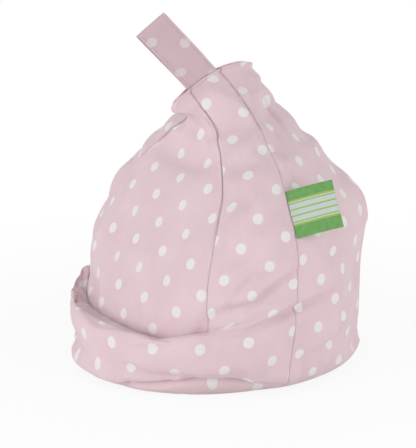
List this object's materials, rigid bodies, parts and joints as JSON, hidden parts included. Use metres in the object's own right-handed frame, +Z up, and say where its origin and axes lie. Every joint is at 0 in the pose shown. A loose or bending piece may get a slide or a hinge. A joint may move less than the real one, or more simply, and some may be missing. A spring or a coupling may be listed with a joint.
{
  "type": "tablet cushion stand",
  "caption": "Bead-filled cloth cushion that props up a tablet: a sloping backrest, a rolled front lip with a groove behind it, a pinched ridge with a folded strap, and a side label.",
  "frame": {"origin": "the middle of the flat base, on the surface that the cushion stands on", "axes": "X runs from side to side, the lip faces -Y and Z is up"},
  "size_m": [0.2599, 0.2483, 0.3025],
  "materials": {
    "dotted_cloth": "woven cotton, pale pink with off-white dots, matt",
    "strap_cloth": "woven cotton, pale pink with off-white dots, edge stitched",
    "label_cloth": "smooth printed satin tape, green",
    "filling": "expanded polystyrene beads, white"
  },
  "bodies": {
    "root": {"backrest_panel": "dotted_cloth", "wrap_panel": "dotted_cloth", "back_panel": "dotted_cloth", "base_panel": "dotted_cloth", "bead_filling": "filling", "handle_strap": "strap_cloth", "side_label": "label_cloth"}
  },
  "joints": []
}
